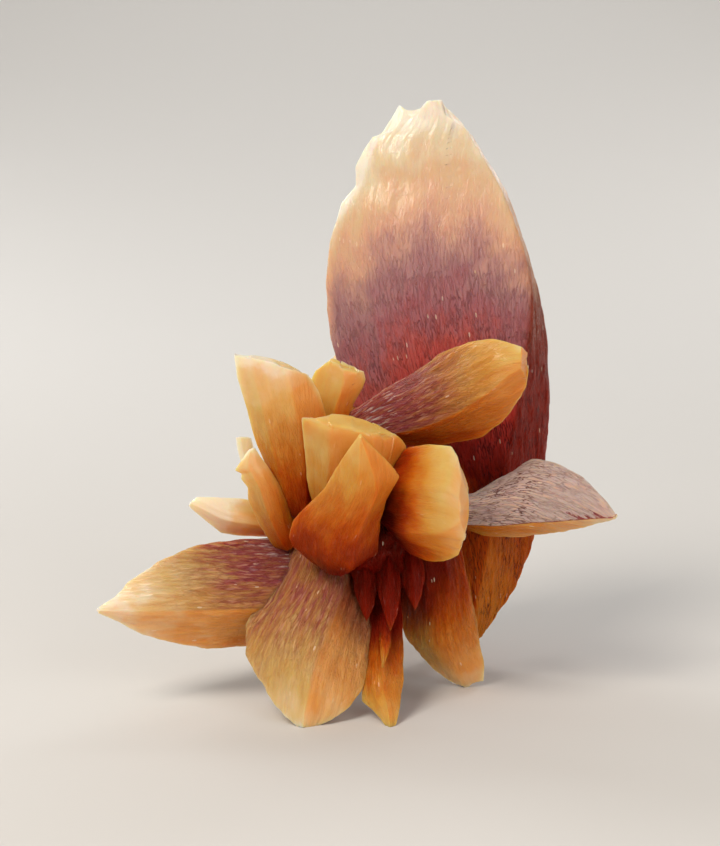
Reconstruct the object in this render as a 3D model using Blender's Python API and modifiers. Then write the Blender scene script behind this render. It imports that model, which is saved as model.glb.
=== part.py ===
"""A honey calcite specimen: one tall blade crystal with a rosette of dogtooth crystals at its foot.

Every crystal is a loft of six-cornered rings from its root to its tip. Two corners are its left and
right edges, two stand forward as the ridges of its front faces and two stand back. The coarse lofts
are creased along their edges, rounded by one subdivision and joined into one solid, which stands on
four tips that are worn flat where they touch the ground.
Lengths in the tables are millimetres, X to the right, Y away from the viewer and Z up.
"""

import math
from dataclasses import dataclass

import bmesh
import bpy
from mathutils import Matrix, Vector

MM = 0.001

# The six corners of a ring, in their order round it
RIGHT, BACK_RIGHT, BACK_LEFT, LEFT, FRONT_LEFT, FRONT_RIGHT = range(6)
CORNERS = 6

# How crisp the edges stay when a crystal is subdivided
EDGE_CREASE = 0.95
BACK_CREASE = 0.6
END_CREASE = 0.8
OUTLINE_CREASE = 0.75
SUBDIVISIONS = 1

# A crystal is never thinner than this share of its own thickness, and a ridge never nearer its edge
THINNEST = 0.10
NEAREST_EDGE = 0.97

# How the thickness follows the width, and the share of the length where a crystal starts to thin
FULLNESS_POWER = 0.8
THINNING_STARTS = 0.5

# Where the two back corners are across the width, and how much shallower the right one is
BACK_PLACES = (0.32, 0.68)
BACK_RIGHT_DEPTH = 0.8

# The ring that rounds off a root: its share of the first ring, and how far below in widths
ROOT_SCALE = 0.4
ROOT_REACH = 0.25

# Crystals no wider than this stay faceted, in mm
SMALL = 6.0

# The lump in the middle of the rosette, where its crystals start
CORE_MIDDLE = (2.0, 8.5, 25.5)
CORE_HALF_SIZES = (12.5, 11.5, 11.5)

# The lowest tips are worn flat at this height
GROUND = 0.0
CUTTER_SIZE = 160.0

HONEY = (0.72, 0.36, 0.10, 1.0)
ROUGHNESS = 0.35


@dataclass
class Crystal:
    """One crystal that grows from the middle of its root to its tip.

    Each ring holds where its left and right edges are: (left along, left across, right along, right
    across), in mm from the root, as seen with the tip up. The two front corners lie between the edges
    at a share of the width, and stand forward by a height in mm; each has a pair for the root and one
    for the tip, and a crease. Crown lifts the two front corners of the last ring, and crown_places
    moves them across.
    """

    name: str
    root: tuple
    tip: tuple
    rings: tuple
    front_left: tuple = ((0.34, 3.0), (0.34, 3.0), 0.5)
    front_right: tuple = ((0.66, 3.0), (0.66, 3.0), 0.5)
    back: float = 4.0
    end_thickness: float = 0.5
    crown: tuple = (0.0, 0.0)
    crown_places: tuple = None


# A regular crystal at each share of its length: how far out its left and right edges are
DOGTOOTH_SWELL = (
    (0.0, 0.72, 0.74),
    (0.30, 0.96, 1.0),
    (0.55, 0.98, 0.88),
    (0.78, 0.68, 0.54),
    (0.94, 0.28, 0.20),
    (1.0, 0.08, 0.06),
)


def dogtooth(name, root, tip, width, depth):
    """A crystal for where the cluster's own outline isn't seen: it swells and then points."""
    length = (Vector(tip) - Vector(root)).length
    half, forward = width / 2, depth / 2
    return Crystal(
        name,
        root,
        tip,
        tuple((at * length, -left * half, at * length, right * half) for at, left, right in DOGTOOTH_SWELL),
        front_left=((0.45, forward), (0.5, forward), 0.9),
        front_right=((0.78, 0.6 * forward), (0.8, 0.6 * forward), 0.4),
        back=forward,
    )


TALL_BLADE = Crystal(
    "tall_blade",
    root=(15.6, 15.5, 3.3),
    tip=(9.3, 22.5, 87.2),
    rings=(
        (2.0, -1.0, 2.5, 4.0),
        (10.0, -4.8, 9.0, 9.3),
        (20.0, -8.8, 17.5, 13.3),
        (32.0, -12.4, 29.5, 15.9),
        (42.5, -15.6, 39.0, 17.0),
        (50.5, -16.9, 48.5, 16.9),
        (58.5, -17.0, 56.0, 15.9),
        (65.5, -15.8, 63.5, 14.3),
        (71.0, -13.4, 70.0, 12.4),
        (73.4, -11.0, 73.2, 10.9),
        (76.3, -10.9, 75.5, 9.7),
        (79.0, -9.2, 78.0, 8.3),
        (80.5, -8.0, 79.8, 7.4),
        (80.9, -6.4, 81.0, 6.4),
        (82.0, -5.5, 82.6, 5.2),
        (85.2, -3.3, 85.2, 3.2),
    ),
    front_left=((0.40, 10.0), (0.25, 7.0), 0.15),
    front_right=((0.50, 12.5), (1.20, 6.0), 0.95),
    back=9.0,
    end_thickness=0.3,
    crown=(-2.2, 0.2),
    crown_places=(0.27, 0.62),
)

ROSETTE = (
    Crystal(
        "left_tooth",
        (-8.7, 6.0, 18.6),
        (-38.2, -7.0, 15.8),
        rings=(
            (1.0, -9.3, 0.5, 5.4),
            (9.0, -10.5, 9.0, 7.0),
            (16.5, -9.3, 16.0, 7.0),
            (21.5, -7.3, 22.5, 5.7),
            (26.0, -5.1, 27.0, 3.4),
            (29.2, -2.6, 29.5, 1.6),
            (32.2, -0.5, 32.1, 0.5),
        ),
        front_left=((0.36, 6.5), (0.50, 5.0), 0.95),
        front_right=((0.70, 5.5), (0.75, 4.0), 0.3),
        back=6.5,
    ),
    Crystal(
        "front_foot",
        (-4.6, 5.0, 22.3),
        (-8.6, -13.0, -0.5),
        rings=(
            (1.0, -3.8, 1.0, 6.3),
            (7.0, -7.2, 8.5, 8.6),
            (12.5, -8.4, 14.5, 10.7),
            (18.0, -8.9, 19.2, 9.8),
            (21.5, -8.2, 22.6, 7.4),
            (24.5, -6.9, 25.4, 4.8),
            (27.0, -4.4, 27.6, 2.6),
            (28.9, -1.1, 29.2, 0.1),
        ),
        front_left=((0.10, 4.0), (0.64, 6.0), 0.95),
        front_right=((0.60, 5.5), (0.80, 4.0), 0.2),
        back=5.5,
    ),
    Crystal(
        "middle_foot",
        (1.8, 5.0, 16.6),
        (4.5, -13.2, -0.9),
        rings=(
            (-7.0, -5.0, -7.0, 5.2),
            (-1.0, -4.6, -1.0, 3.6),
            (6.0, -4.0, 6.0, 2.4),
            (12.0, -3.6, 12.6, 2.9),
            (17.0, -2.9, 19.3, 3.9),
            (21.0, -1.9, 21.8, 1.9),
            (24.0, -0.9, 23.5, 0.9),
            (25.2, -0.2, 25.0, 0.3),
        ),
        front_left=((0.45, 3.6), (0.5, 4.4), 0.8),
        front_right=((0.75, 2.8), (0.75, 3.0), 0.3),
        back=3.5,
    ),
    Crystal(
        "right_foot",
        (10.2, 2.0, 21.9),
        (16.4, 8.0, -0.3),
        rings=(
            (-3.0, -5.0, -3.0, 4.0),
            (2.5, -5.0, 2.3, 5.0),
            (8.0, -4.7, 7.7, 6.5),
            (13.7, -4.4, 12.6, 7.0),
            (17.2, -3.8, 15.6, 5.8),
            (20.3, -3.7, 19.2, 4.1),
            (23.4, -2.7, 22.6, 1.8),
        ),
        front_left=((0.28, 3.5), (0.35, 3.0), 0.9),
        front_right=((0.62, 4.0), (0.66, 3.0), 0.3),
        back=4.0,
        crown=(-0.6, 0.5),
    ),
    Crystal(
        "upper_right_tooth",
        (0.0, 6.0, 38.6),
        (23.5, -6.0, 52.8),
        rings=(
            (-8.0, -3.6, -8.0, 3.4),
            (2.5, -4.8, 2.0, 2.5),
            (8.0, -5.4, 7.0, 4.0),
            (12.5, -5.6, 10.8, 6.2),
            (18.5, -6.3, 17.4, 7.9),
            (24.1, -5.7, 21.5, 7.3),
            (27.1, -4.7, 25.0, 5.9),
            (28.9, -3.3, 27.4, 4.2),
            (30.5, -1.6, 28.5, 3.1),
        ),
        front_left=((0.40, 5.0), (0.30, 4.0), 0.35),
        front_right=((0.70, 5.5), (0.55, 4.0), 0.8),
        back=5.5,
        end_thickness=0.8,
    ),
    Crystal(
        "upper_left_tooth",
        (-7.8, 4.0, 26.1),
        (-12.4, -2.0, 51.3),
        rings=(
            (2.5, -3.1, 2.3, 2.0),
            (9.0, -4.0, 7.0, 4.0),
            (14.3, -5.1, 11.6, 5.4),
            (21.4, -5.5, 16.4, 6.2),
            (25.2, -5.9, 20.5, 5.8),
            (29.2, -5.6, 23.4, 4.9),
        ),
        front_left=((0.18, 2.4), (0.24, 1.6), 0.95),
        front_right=((0.62, 3.2), (0.66, 2.4), 0.5),
        back=3.5,
        end_thickness=0.12,
        crown=(0.3, 0.7),
    ),
    Crystal(
        "chipped_tooth",
        (-4.3, 6.0, 35.1),
        (-3.4, 5.0, 50.2),
        rings=(
            (-7.0, -3.4, -7.0, 2.8),
            (1.0, -4.0, 2.0, 2.8),
            (5.0, -4.1, 5.5, 2.8),
            (8.5, -4.1, 9.0, 2.8),
            (10.5, -4.1, 11.5, 4.2),
            (12.2, -3.9, 13.0, 4.5),
            (13.8, -3.2, 14.2, 4.1),
        ),
        front_left=((0.28, 1.6), (0.28, 1.2), 0.8),
        front_right=((0.62, 2.6), (0.58, 1.6), 0.7),
        back=2.6,
        crown=(2.2, 0.6),
    ),
    Crystal(
        "fore_wedge_left",
        (-1.2, 2.0, 25.7),
        (-1.4, -9.0, 44.7),
        rings=(
            (0.0, -4.7, 0.0, 4.9),
            (6.1, -5.9, 6.0, 6.5),
            (10.2, -6.6, 11.5, 7.3),
            (13.5, -6.7, 13.8, 8.2),
            (17.0, -6.9, 16.2, 8.2),
            (22.3, -7.2, 18.2, 7.1),
        ),
        front_left=((0.12, 3.4), (0.30, 2.6), 0.9),
        front_right=((0.66, 4.6), (0.72, 3.2), 0.7),
        back=4.5,
        end_thickness=0.25,
        crown=(0.5, 1.0),
    ),
    Crystal(
        "fore_wedge",
        (-2.2, -3.0, 21.6),
        (0.0, -15.0, 43.0),
        rings=(
            (-3.0, -6.0, -3.0, 5.4),
            (0.0, -7.4, 0.0, 5.2),
            (3.5, -8.6, 4.5, 4.6),
            (7.5, -8.5, 9.4, 4.4),
            (11.0, -6.4, 13.7, 5.0),
            (14.5, -4.3, 18.2, 6.5),
            (20.0, -2.3, 21.4, 3.5),
            (24.6, -0.2, 24.7, 0.3),
        ),
        front_left=((0.42, 4.0), (0.42, 4.0), 0.5),
        front_right=((0.74, 4.2), (0.74, 4.2), 0.85),
        back=4.5,
        end_thickness=0.7,
    ),
    Crystal(
        "fore_chisel",
        (3.6, -3.0, 30.6),
        (15.4, -13.0, 32.3),
        rings=(
            (-2.0, -4.0, -2.0, 2.0),
            (2.0, -6.6, 0.5, 4.6),
            (6.1, -9.1, 3.2, 7.4),
            (10.1, -9.5, 6.2, 8.5),
            (14.2, -9.2, 9.8, 8.4),
            (14.9, -7.7, 12.4, 7.2),
            (15.1, -4.6, 14.2, 4.4),
        ),
        front_left=((0.30, 3.6), (0.32, 3.0), 0.6),
        front_right=((0.74, 4.0), (0.70, 3.2), 0.85),
        back=4.5,
        end_thickness=0.45,
    ),
    Crystal(
        "right_tooth",
        (10.2, 8.0, 32.2),
        (37.4, -4.0, 29.0),
        rings=(
            (3.0, 1.6, 3.0, 6.2),
            (7.5, 0.6, 7.8, 6.6),
            (12.3, -3.4, 11.0, 6.8),
            (16.0, -6.4, 15.5, 6.1),
            (19.4, -6.4, 19.5, 4.8),
            (24.0, -5.1, 24.0, 3.1),
            (28.0, -2.3, 28.0, 1.2),
            (29.8, -0.4, 29.7, 0.4),
        ),
        front_left=((0.40, 5.0), (0.36, 4.5), 0.2),
        front_right=((0.78, 5.0), (0.80, 4.0), 0.95),
        back=5.0,
        end_thickness=0.7,
    ),
    Crystal(
        "left_finger",
        (-9.5, 8.0, 25.6),
        (-25.5, 4.0, 29.1),
        rings=(
            (-4.0, -2.4, -4.0, 1.8),
            (2.0, -2.9, 2.0, 2.0),
            (8.0, -3.5, 8.8, 2.3),
            (11.2, -3.6, 12.2, 2.0),
            (14.0, -1.9, 14.2, 1.8),
            (15.8, -0.9, 15.9, 1.5),
            (16.8, -0.2, 16.6, 0.8),
        ),
        front_left=((0.4, 2.2), (0.45, 1.8), 0.8),
        front_right=((0.75, 1.8), (0.75, 1.4), 0.3),
        back=2.5,
    ),
    Crystal(
        "left_spike",
        (-12.1, 10.0, 27.8),
        (-17.3, 10.0, 38.3),
        rings=(
            (-8.0, -2.4, -8.0, 1.6),
            (4.0, -2.8, 4.0, 0.6),
            (8.3, -2.5, 8.0, 0.0),
            (10.6, -2.0, 10.0, 0.6),
            (12.3, -1.4, 11.3, 0.8),
        ),
        front_left=((0.35, 0.9), (0.35, 0.6), 0.8),
        front_right=((0.7, 0.8), (0.7, 0.5), 0.3),
        back=1.2,
    ),
    Crystal(
        "left_flake",
        (-10.1, 3.0, 24.0),
        (-16.4, 0.0, 37.0),
        rings=(
            (0.0, -3.0, 0.0, 1.0),
            (3.6, -3.3, 3.0, 1.4),
            (9.0, -3.1, 6.5, 2.2),
            (10.6, -2.2, 9.5, 2.3),
            (12.2, -2.5, 11.3, 2.1),
            (13.0, -2.0, 12.6, 2.0),
            (13.9, -2.8, 13.8, 1.8),
            (15.8, 0.6, 15.9, 1.6),
        ),
        front_left=((0.4, 1.8), (0.4, 1.2), 0.7),
        front_right=((0.75, 1.5), (0.75, 1.0), 0.3),
        back=2.2,
    ),
    dogtooth("small_drop", (3.8, -2.0, 14.2), (3.3, -9.0, 7.8), width=1.9, depth=1.8),
    dogtooth("back_foot", (-4.0, 11.0, 20.0), (-9.7, 28.0, -0.5), width=13.5, depth=11.0),
    dogtooth("back_right_foot", (10.0, 14.0, 18.0), (12.5, 24.5, -0.5), width=9.5, depth=8.0),
    dogtooth("back_left_tooth", (-2.0, 11.0, 27.0), (-14.5, 29.0, 33.0), width=13.0, depth=11.0),
    dogtooth("back_tooth", (8.0, 22.0, 27.0), (9.0, 41.0, 34.0), width=15.0, depth=12.0),
    dogtooth("back_low_tooth", (10.0, 18.0, 19.0), (19.0, 36.0, 12.5), width=11.5, depth=9.5),
    dogtooth("back_high_tooth", (9.0, 20.0, 34.0), (13.0, 37.0, 49.0), width=11.0, depth=9.0),
    dogtooth("back_corner_tooth", (14.0, 18.0, 24.0), (24.0, 36.0, 24.0), width=11.0, depth=9.0),
    dogtooth("back_upper_tooth", (0.0, 15.0, 33.0), (-2.5, 32.0, 49.0), width=12.0, depth=10.0),
    dogtooth("back_side_tooth", (-4.0, 10.0, 30.0), (-17.0, 20.0, 43.0), width=8.0, depth=6.5),
    dogtooth("back_small_tooth", (1.0, 14.0, 22.0), (1.0, 33.0, 23.0), width=9.0, depth=7.5),
    dogtooth("under_tooth", (4.0, 8.0, 20.0), (2.0, 11.0, 4.5), width=9.0, depth=7.5),
)


def blend(pair, share):
    """Between a pair of values at this share of the way, with no stop past the second."""
    return pair[0] + (pair[1] - pair[0]) * share


def frame_of(root, tip):
    """A frame at the root with Z towards the tip and -Y as near as it can be to the viewer."""
    along = (Vector(tip) - Vector(root)).normalized()
    back = Vector((0.0, 1.0, 0.0))
    back = (back - along * back.dot(along)).normalized()
    side = back.cross(along)
    return Matrix.Translation(root) @ Matrix((side, back, along)).transposed().to_4x4()


def width_of(crystal):
    """The crystal's greatest width, in mm."""
    return max(ring[3] - ring[1] for ring in crystal.rings)


def root_ring(ring):
    """The small ring that rounds off a crystal's root, below its first ring."""
    left_along, left_across, right_along, right_across = ring
    middle = (left_across + right_across) / 2
    half = (right_across - left_across) / 2
    below = ROOT_REACH * 2 * half
    return (
        left_along - below,
        middle - ROOT_SCALE * half,
        right_along - below,
        middle + ROOT_SCALE * half,
    )


def ring_corners(crystal, ring, share, widest, last):
    """The six corners of one ring, in mm from the root."""
    left_along, left_across, right_along, right_across = ring
    fullness = ((right_across - left_across) / widest) ** FULLNESS_POWER
    tipward = max(0.0, (share - THINNING_STARTS) / (1 - THINNING_STARTS))
    taper = 1 - (1 - crystal.end_thickness) * tipward**2
    thickness = max(THINNEST, fullness * taper)

    def between(place, forward, lift):
        place = min(NEAREST_EDGE, place)
        across = blend((left_across, right_across), place)
        along = blend((left_along, right_along), place)
        return Vector((across, -forward * thickness, along + lift))

    corners = [None] * CORNERS
    corners[LEFT] = Vector((left_across, 0.0, left_along))
    corners[RIGHT] = Vector((right_across, 0.0, right_along))
    lifts = crystal.crown if last else (0.0, 0.0)
    for side, corner, front in (
        (0, FRONT_LEFT, crystal.front_left),
        (1, FRONT_RIGHT, crystal.front_right),
    ):
        root_end, tip_end, _ = front
        place = blend((root_end[0], tip_end[0]), share)
        if last and crystal.crown_places:
            place = crystal.crown_places[side]
        corners[corner] = between(place, blend((root_end[1], tip_end[1]), share), lifts[side])
    corners[BACK_LEFT] = between(BACK_PLACES[0], -crystal.back, lifts[0])
    corners[BACK_RIGHT] = between(BACK_PLACES[1], -BACK_RIGHT_DEPTH * crystal.back, lifts[1])
    return corners


def crystal_mesh(crystal):
    """The coarse crystal along +Z from the origin, with its creases."""
    edges = (root_ring(crystal.rings[0]), *crystal.rings)
    last = len(edges) - 1
    far = max(max(ring[0], ring[2]) for ring in edges)
    widest = width_of(crystal)
    bm = bmesh.new()
    crease = bm.edges.layers.float.new("crease_edge")
    point = bm.verts.layers.float.new("crease_vert")
    bmesh.ops.create_cone(
        bm, cap_ends=True, segments=CORNERS, radius1=1.0, radius2=1.0, depth=1.0
    )
    uprights = [e for e in bm.edges if abs(e.verts[0].co.z - e.verts[1].co.z) > 0.5]
    bmesh.ops.subdivide_edges(bm, edges=uprights, cuts=last - 1)

    place_of = {}
    for vertex in bm.verts:
        angle = math.atan2(vertex.co.y, vertex.co.x)
        place_of[vertex] = (
            round((vertex.co.z + 0.5) * last),
            math.floor(angle / math.tau * CORNERS) % CORNERS,
        )
    rings = []
    for k, ring in enumerate(edges):
        share = max(0.0, (ring[0] + ring[2]) / 2 / far)
        rings.append(ring_corners(crystal, ring, share, widest, k == last))
    creases = {
        LEFT: EDGE_CREASE,
        RIGHT: EDGE_CREASE,
        FRONT_LEFT: crystal.front_left[2],
        FRONT_RIGHT: crystal.front_right[2],
        BACK_LEFT: BACK_CREASE,
        BACK_RIGHT: BACK_CREASE,
    }
    for vertex, (ring, corner) in place_of.items():
        vertex.co = rings[ring][corner]
        if corner in (LEFT, RIGHT):
            vertex[point] = OUTLINE_CREASE
    for edge in bm.edges:
        (ring_a, corner_a), (ring_b, corner_b) = (place_of[v] for v in edge.verts)
        if corner_a == corner_b:
            edge[crease] = creases[corner_a]
        elif ring_a in (0, last):
            edge[crease] = END_CREASE
    bmesh.ops.recalc_face_normals(bm, faces=bm.faces)
    mesh = bpy.data.meshes.new(crystal.name)
    bm.to_mesh(mesh)
    bm.free()
    return mesh


def helper_object(name, mesh, collection, parent):
    """An object that only takes part in Booleans."""
    helper = bpy.data.objects.new(name, mesh)
    helper.hide_render = True
    helper.display_type = "WIRE"
    helper.parent = parent
    collection.objects.link(helper)
    return helper


def grow(crystal, collection, parent):
    """The crystal as a rounded helper object in its place."""
    body = helper_object(crystal.name, crystal_mesh(crystal), collection, parent)
    body.matrix_local = frame_of(crystal.root, crystal.tip)
    if width_of(crystal) > SMALL:
        rounding = body.modifiers.new("rounding", "SUBSURF")
        rounding.levels = SUBDIVISIONS
        rounding.render_levels = SUBDIVISIONS
    body.modifiers.new("triangles", "TRIANGULATE")


def core(collection, parent):
    """The lump in the middle of the rosette."""
    bm = bmesh.new()
    bmesh.ops.create_icosphere(bm, subdivisions=2, radius=1.0)
    bmesh.ops.scale(bm, vec=CORE_HALF_SIZES, verts=bm.verts)
    bmesh.ops.translate(bm, vec=CORE_MIDDLE, verts=bm.verts)
    mesh = bpy.data.meshes.new("calcite_cluster")
    bm.to_mesh(mesh)
    bm.free()
    cluster = bpy.data.objects.new("calcite_cluster", mesh)
    cluster.parent = parent
    collection.objects.link(cluster)
    return cluster


def ground_cutter(collection, parent):
    """A block whose top face wears the lowest tips flat."""
    bm = bmesh.new()
    bmesh.ops.create_cube(bm, size=CUTTER_SIZE)
    bmesh.ops.translate(bm, vec=(0, 0, GROUND - CUTTER_SIZE / 2), verts=bm.verts)
    mesh = bpy.data.meshes.new("ground_cutter")
    bm.to_mesh(mesh)
    bm.free()
    return helper_object("ground_cutter", mesh, collection, parent)


def calcite():
    """The material of the whole specimen."""
    material = bpy.data.materials.new("honey_calcite")
    material.use_nodes = True
    surface = material.node_tree.nodes["Principled BSDF"]
    surface.inputs["Base Color"].default_value = HONEY
    surface.inputs["Roughness"].default_value = ROUGHNESS
    surface.inputs["Metallic"].default_value = 0.0
    return material


def join(cluster, operation, **operand):
    """A Boolean modifier on the cluster."""
    modifier = cluster.modifiers.new(operation.lower(), "BOOLEAN")
    modifier.operation = operation
    modifier.solver = "EXACT"
    for name, value in operand.items():
        setattr(modifier, name, value)


def new_collection(name):
    """A collection of this name in the scene."""
    collection = bpy.data.collections.new(name)
    bpy.context.scene.collection.children.link(collection)
    return collection


def foot_of_box(crystals):
    """The middle of the crystals' box, on the ground, in metres."""
    bpy.context.view_layer.update()
    graph = bpy.context.evaluated_depsgraph_get()
    corners = []
    for crystal in crystals:
        shaped = crystal.evaluated_get(graph)
        corners += [crystal.matrix_world @ v.co for v in shaped.data.vertices]
    middle_x = (min(c.x for c in corners) + max(c.x for c in corners)) / 2
    middle_y = (min(c.y for c in corners) + max(c.y for c in corners)) / 2
    return Vector((middle_x, middle_y, GROUND * MM))


def main():
    for old in list(bpy.data.objects):
        bpy.data.objects.remove(old)
    specimen = new_collection("honey calcite")
    crystals = new_collection("crystals to join")
    cutters = new_collection("cutters")

    origin = bpy.data.objects.new("specimen_origin", None)
    origin.scale = (MM, MM, MM)
    specimen.objects.link(origin)

    for crystal in (TALL_BLADE, *ROSETTE):
        grow(crystal, crystals, origin)
    cluster = core(specimen, origin)
    cluster.data.materials.append(calcite())
    cutter = ground_cutter(cutters, origin)

    middle = foot_of_box(crystals.objects)
    origin.location = -middle
    join(cluster, "UNION", operand_type="COLLECTION", collection=crystals)
    join(cluster, "DIFFERENCE", operand_type="OBJECT", object=cutter)


main()
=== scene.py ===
"""A honey calcite specimen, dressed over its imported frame.

One tall flattened blade stands behind a rosette of dogtooth crystals. Every crystal is drawn up ring by
ring from a six-sided prism, creased along its edges, subdivided, and then given its growth columns,
ribs, hillocks and striations by displacement. Lengths in the tables are millimetres in the specimen's
own place, X to the right, Y away from the viewer and Z up; a finished mesh is moved to the frame's
place in metres.
"""

import math
from dataclasses import dataclass

import bmesh
import bpy
import numpy as np
from mathutils import Matrix, Vector


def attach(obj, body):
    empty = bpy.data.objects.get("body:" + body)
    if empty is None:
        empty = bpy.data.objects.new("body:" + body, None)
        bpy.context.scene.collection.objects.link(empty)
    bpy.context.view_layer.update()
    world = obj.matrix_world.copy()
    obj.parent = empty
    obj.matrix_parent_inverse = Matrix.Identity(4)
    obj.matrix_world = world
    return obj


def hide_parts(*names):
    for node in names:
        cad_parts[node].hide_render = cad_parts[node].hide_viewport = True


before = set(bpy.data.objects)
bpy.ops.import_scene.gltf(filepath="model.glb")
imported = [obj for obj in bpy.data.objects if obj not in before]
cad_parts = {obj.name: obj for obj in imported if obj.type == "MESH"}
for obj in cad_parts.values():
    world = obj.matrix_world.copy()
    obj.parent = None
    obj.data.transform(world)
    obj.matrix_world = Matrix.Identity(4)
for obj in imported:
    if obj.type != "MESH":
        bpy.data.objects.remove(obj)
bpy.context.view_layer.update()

MM = 0.001
NODE = "calcite_cluster"

# From the specimen's own place to the frame's, in millimetres
SPECIMEN_SHIFT = Vector((0.368, -12.907, 0.0))

# The six corners of a ring, in their order round it
RIGHT, BACK_RIGHT, BACK_LEFT, LEFT, FRONT_LEFT, FRONT_RIGHT = range(6)
CORNERS = 6

# How crisp the edges stay when a crystal is subdivided
EDGE_CREASE = 0.95
BACK_CREASE = 0.6
OUTLINE_CREASE = 0.75

# How much a point may be below a level and still be on it
LEVEL_SLACK = 0.001

# Edges that turn more than this many degrees are shaded sharp
SHARP_TURN = 50

# A crystal is never thinner than this share of its own thickness, and a ridge never nearer its edge
THINNEST = 0.10
NEAREST_EDGE = 0.97

# How the thickness follows the width, and the share of the length where a crystal starts to thin
FULLNESS_POWER = 0.8
THINNING_STARTS = 0.5

# Where the two back corners are across the width, and how much shallower the right one is
BACK_PLACES = (0.32, 0.68)
BACK_RIGHT_DEPTH = 0.8

# The grain spreads from root to tip: how much it follows the width, and how dense it is at each end
FAN_OF_WIDTH = 0.35
FAN_OF_LENGTH = (1.5, 0.9)

# The ring that rounds off a root: its share of the first ring, and how far below in widths
ROOT_SCALE = 0.4
ROOT_REACH = 0.25

# The dusty mauve film lies on faces that look up and to the left, toward the light, where it also stands
# for a painted sheen, and comes in between these cosines
FILM_AND_SHEEN_FROM = Vector((-0.50, -0.25, 0.83)).normalized()
FILM_AND_SHEEN_FACING = (-0.05, 0.4)

# The share of a crystal's length over which its film and its painted sheen thin out
FILM_AND_SHEEN_FADE = 0.8

# The shaded side colours, painted shade with a painted glow of light through the crystal, show on faces
# that look down and to the right, away from the light, between these cosines
SHADED_SIDE_FROM = Vector((0.75, -0.30, -0.60)).normalized()
SHADED_SIDE_FACING = (0.0, 0.7)

# Shares of the length between which the growth columns come in, and the grain dies down
COLUMNS_COME_IN = (0.45, 0.9)
GRAIN_DIES_DOWN = (0.5, 1.0)

# How much of the grain's marks and of its relief the tip loses
TIP_LOSES_MARKS = 0.8
TIP_LOSES_RELIEF = 0.6

# Growth patterns on the mesh: name, noise and its depth, mm across the grain, mm tall, level value
PATTERNS = (
    ("growth ribs", "BLENDER_ORIGINAL", 1, 2.6, 0.45, 0.5),
    ("hillocks", "VORONOI_F1", 0, 1.2, -0.36, 0.4),
    ("striations", "BLENDER_ORIGINAL", 2, 0.5, 0.20, 0.5),
)
COLUMN_WIDTH = 1.9
COLUMN_LEVEL = 0.6

# How much longer the patterns are along the grain, and the least relief of the smoothest crystals
STREAK_STRETCH = 4.5
SMOOTHEST = 0.45

# The heart of the rosette, where all its crystals meet, and the crags on it, in mm
HEART_MIDDLE = (2.0, 8.5, 25.5)
HEART_HALF_SIZES = (12.5, 11.5, 11.5)
CRAG_SIZE = 2.6
CRAG_HEIGHT = 2.6
CRAG_LEVEL = 0.6


@dataclass
class Crystal:
    """One crystal that grows from the middle of its root to its tip.

    Each ring holds where its left and right edges are: (left along, left across, right along, right
    across), in mm from the root, as seen with the tip up. The two front corners lie between the edges
    at a share of the width, and stand forward by a height in mm; each has a pair for the root and one
    for the tip, and a crease. Back is how many mm the back stands out. End_thickness is the share of
    its thickness that the crystal keeps at the tip, and end_crease is how crisp the tip's rim stays.
    Crown lifts the left and the right corners of the last ring in mm, and crown_places moves the front
    ones across. Levels is how often the mesh is subdivided, and step how tall the growth columns are.

    Colours are the places on the colour scale at the root and the tip. Film is how much of the mauve
    film the crystal carries, as far as its film end; it lies on the faces that look toward the light
    and carries a painted sheen there. Coarseness is how strongly its grain shows, and slant leans the
    grain to the right.
    """

    name: str
    root: tuple
    tip: tuple
    rings: tuple
    front_left: tuple = ((0.34, 3.0), (0.34, 3.0), 0.5)
    front_right: tuple = ((0.66, 3.0), (0.66, 3.0), 0.5)
    back: float = 4.0
    end_thickness: float = 0.5
    end_crease: float = 0.8
    crown: tuple = (0.0, 0.0)
    crown_places: tuple = None
    levels: int = 5
    step: float = 0.4
    colours: tuple = (0.15, 0.95)
    film: float = 0.3
    film_and_sheen_end: float = 0.9
    coarseness: float = 1.0
    slant: float = 0.0


# A regular crystal at each share of its length: how far out its left and right edges are
DOGTOOTH_SWELL = (
    (0.0, 0.72, 0.74),
    (0.30, 0.96, 1.0),
    (0.55, 0.98, 0.88),
    (0.78, 0.68, 0.54),
    (0.94, 0.28, 0.20),
    (1.0, 0.08, 0.06),
)

# Where a regular crystal's two front ridges are at root and tip, how far forward, and how crisp
DOGTOOTH_RIDGE = (0.45, 0.50, 1.0, 0.9)
DOGTOOTH_SHOULDER = (0.78, 0.80, 0.6, 0.4)
SPLINTER_DEPTH = 3.6


def ridge(line, forward):
    """One front corner of a regular crystal that stands this many mm forward."""
    at_root, at_tip, share, crease = line
    return ((at_root, share * forward), (at_tip, share * forward), crease)


def dogtooth(name, root, tip, width, depth, **finish):
    """A crystal for where the cluster's own outline isn't seen: it swells and then points."""
    length = (Vector(tip) - Vector(root)).length
    half, forward = width / 2, depth / 2
    rings = (
        (at * length, -left * half, at * length, right * half) for at, left, right in DOGTOOTH_SWELL
    )
    return Crystal(
        name,
        root,
        tip,
        tuple(rings),
        front_left=ridge(DOGTOOTH_RIDGE, forward),
        front_right=ridge(DOGTOOTH_SHOULDER, forward),
        back=forward,
        levels=4,
        **finish,
    )


def splinter(name, root, tip, width):
    """A thin dark crystal that hangs between the feet."""
    return dogtooth(name, root, tip, width, depth=SPLINTER_DEPTH, colours=(0.0, 0.30), film=0.0)


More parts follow.
